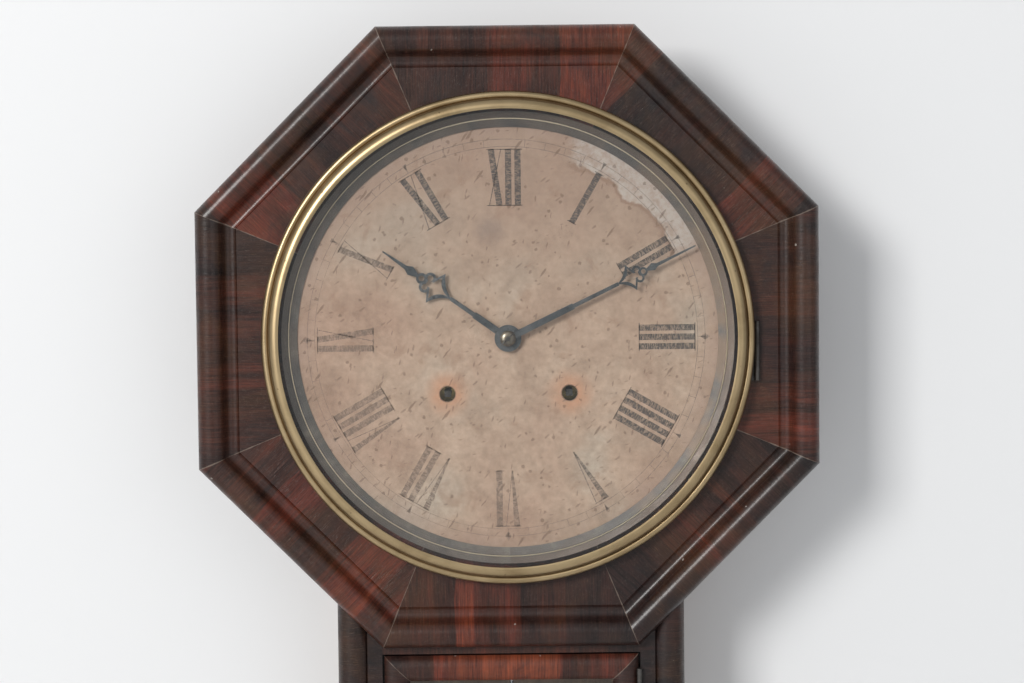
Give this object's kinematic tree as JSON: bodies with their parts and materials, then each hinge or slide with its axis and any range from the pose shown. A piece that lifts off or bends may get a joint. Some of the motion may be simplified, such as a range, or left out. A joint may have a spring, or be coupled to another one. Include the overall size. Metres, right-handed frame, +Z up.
{
  "type": "octagonal wall clock",
  "caption": "Octagonal wall clock with a short drop trunk, hinged brass bezel, Roman paper dial, pierced hands, trunk door, pendulum and striking movement.",
  "frame": {"origin": "centre of the hanger plate's hole, in the wall plane", "axes": "+Z up, +Y into the wall, +X to the right as seen from the front; the dial faces -Y"},
  "size_m": [0.432, 0.1046, 0.627],
  "materials": {
    "veneer": "crossbanded dark red-brown veneer, worn polish",
    "moulding": "dark polished moulding",
    "pine": "plain planed softwood, stained outside",
    "bezel_brass": "aged lacquered brass",
    "dial_zinc": "dull zinc",
    "sight_metal": "dull grey patina",
    "dial_paper": "aged printed paper, stained",
    "glass": "clear flat glass",
    "hands_black": "blackened steel",
    "fitting_brass": "polished brass, dulled",
    "movement_brass": "stamped brass",
    "steel": "bright steel",
    "iron": "blackened hinge iron",
    "spring_steel": "blued spring steel"
  },
  "bodies": {
    "case": {"backboard": "pine", "hanger_plate": "fitting_brass", "hanger_screws": "steel", "box_sides": "pine", "box_end_boards": "pine", "head_bottom": "veneer", "head_bottom_right": "veneer", "head_right": "veneer", "head_top_right": "veneer", "head_top": "veneer", "head_top_left": "veneer", "head_left": "veneer", "head_bottom_left": "veneer", "trunk_stile_left": "moulding", "trunk_stile_right": "moulding", "trunk_lower_left": "moulding", "trunk_lower_right": "moulding", "trunk_bottom_rail": "moulding", "trunk_top_rail": "moulding", "frame_hinge_leaves": "iron", "head_hinge_leaf": "iron", "dial_pan": "dial_zinc", "dial_paper": "dial_paper", "sight_ring": "sight_metal", "front_plate": "movement_brass", "back_plate": "movement_brass", "plate_pillars": "steel", "mainsprings": "spring_steel", "gong": "spring_steel"},
    "trunk_door": {"door_stile_left": "moulding", "door_stile_right": "moulding", "door_lower_left": "moulding", "door_lower_right": "moulding", "door_bottom_rail": "moulding", "door_top_rail": "moulding", "door_glass": "glass", "door_pull": "fitting_brass", "door_hinge_leaves": "iron"},
    "bezel_door": {"bezel_ring": "bezel_brass", "bezel_glass": "glass", "bezel_hinge_leaf": "iron"},
    "minute_work": {"centre_arbor": "steel", "minute_hand": "hands_black", "hand_collet": "fitting_brass", "hand_pin": "steel"},
    "minute_wheel": {"minute_wheel": "movement_brass"},
    "hour_work": {"hour_wheel": "movement_brass", "hour_hand": "hands_black"},
    "escape_wheel": {"escape_wheel": "movement_brass"},
    "third_wheel": {"third_wheel": "movement_brass"},
    "centre_wheel": {"centre_wheel": "movement_brass"},
    "second_wheel": {"second_wheel": "movement_brass"},
    "time_great_wheel": {"time_great_wheel": "movement_brass"},
    "strike_great_wheel": {"strike_great_wheel": "movement_brass"},
    "time_winding": {"time_winding_arbor": "steel"},
    "strike_winding": {"strike_winding_arbor": "steel"},
    "pendulum": {"pendulum_rod": "steel", "pendulum_bob": "movement_brass"},
    "pallets": {"pallets": "steel"},
    "hammer": {"hammer": "steel"}
  },
  "joints": [
    {"name": "bezel_door_swing", "type": "hinge", "parent": "case", "child": "bezel_door", "pos_m": [0.1728, -0.0903, -0.1867], "axis": [0, 0, 1], "range_deg": [0, 100]},
    {"name": "trunk_door_swing", "type": "hinge", "parent": "case", "child": "trunk_door", "pos_m": [0.0897, -0.08635, -0.449], "axis": [0, 0, 1], "range_deg": [0, 105]},
    {"name": "minute_hand_turn", "type": "hinge", "parent": "case", "child": "minute_work", "pos_m": [0, -0.05, -0.176], "axis": [0, 1, 0], "continuous": true},
    {"name": "minute_wheel_turn", "type": "hinge", "parent": "case", "child": "minute_wheel", "pos_m": [-0.01579, -0.05, -0.17025], "axis": [0, 1, 0], "continuous": true},
    {"name": "hour_hand_turn", "type": "hinge", "parent": "case", "child": "hour_work", "pos_m": [0, -0.05, -0.176], "axis": [0, 1, 0], "continuous": true},
    {"name": "escape_wheel_turn", "type": "hinge", "parent": "case", "child": "escape_wheel", "pos_m": [0, -0.05, -0.14918], "axis": [0, 1, 0], "continuous": true},
    {"name": "third_wheel_turn", "type": "hinge", "parent": "case", "child": "third_wheel", "pos_m": [0.01517, -0.05, -0.16083], "axis": [0, 1, 0], "continuous": true},
    {"name": "centre_wheel_turn", "type": "hinge", "parent": "case", "child": "centre_wheel", "pos_m": [0, -0.05, -0.176], "axis": [0, 1, 0], "continuous": true},
    {"name": "second_wheel_turn", "type": "hinge", "parent": "case", "child": "second_wheel", "pos_m": [0.02168, -0.05, -0.18629], "axis": [0, 1, 0], "continuous": true},
    {"name": "time_great_wheel_turn", "type": "hinge", "parent": "case", "child": "time_great_wheel", "pos_m": [0.0424, -0.05, -0.2145], "axis": [0, 1, 0], "continuous": true},
    {"name": "strike_great_wheel_turn", "type": "hinge", "parent": "case", "child": "strike_great_wheel", "pos_m": [-0.0424, -0.05, -0.2145], "axis": [0, 1, 0], "continuous": true},
    {"name": "time_winding_turn", "type": "hinge", "parent": "case", "child": "time_winding", "pos_m": [0.0424, -0.05, -0.2145], "axis": [0, 1, 0], "continuous": true},
    {"name": "strike_winding_turn", "type": "hinge", "parent": "case", "child": "strike_winding", "pos_m": [-0.0424, -0.05, -0.2145], "axis": [0, 1, 0], "continuous": true},
    {"name": "pendulum_swing", "type": "hinge", "parent": "case", "child": "pendulum", "pos_m": [0, -0.026, -0.12994], "axis": [0, 1, 0], "range_deg": [-3, 3]},
    {"name": "pallets_rock", "type": "hinge", "parent": "case", "child": "pallets", "pos_m": [0, -0.05, -0.12994], "axis": [0, 1, 0], "range_deg": [-3, 3]},
    {"name": "hammer_swing", "type": "hinge", "parent": "case", "child": "hammer", "pos_m": [-0.028, -0.05, -0.17], "axis": [0, 1, 0], "range_deg": [0, 6]}
  ],
  "couplings": [
    {"joint": "minute_wheel_turn", "follows": "minute_hand_turn", "ratio": -0.33333},
    {"joint": "hour_hand_turn", "follows": "minute_hand_turn", "ratio": 0.083333},
    {"joint": "third_wheel_turn", "follows": "escape_wheel_turn", "ratio": -0.13333},
    {"joint": "centre_wheel_turn", "follows": "escape_wheel_turn", "ratio": 0.013333},
    {"joint": "second_wheel_turn", "follows": "escape_wheel_turn", "ratio": -0.0066667},
    {"joint": "time_great_wheel_turn", "follows": "escape_wheel_turn", "ratio": 0.0011111},
    {"joint": "pallets_rock", "follows": "pendulum_swing", "ratio": 1}
  ]
}
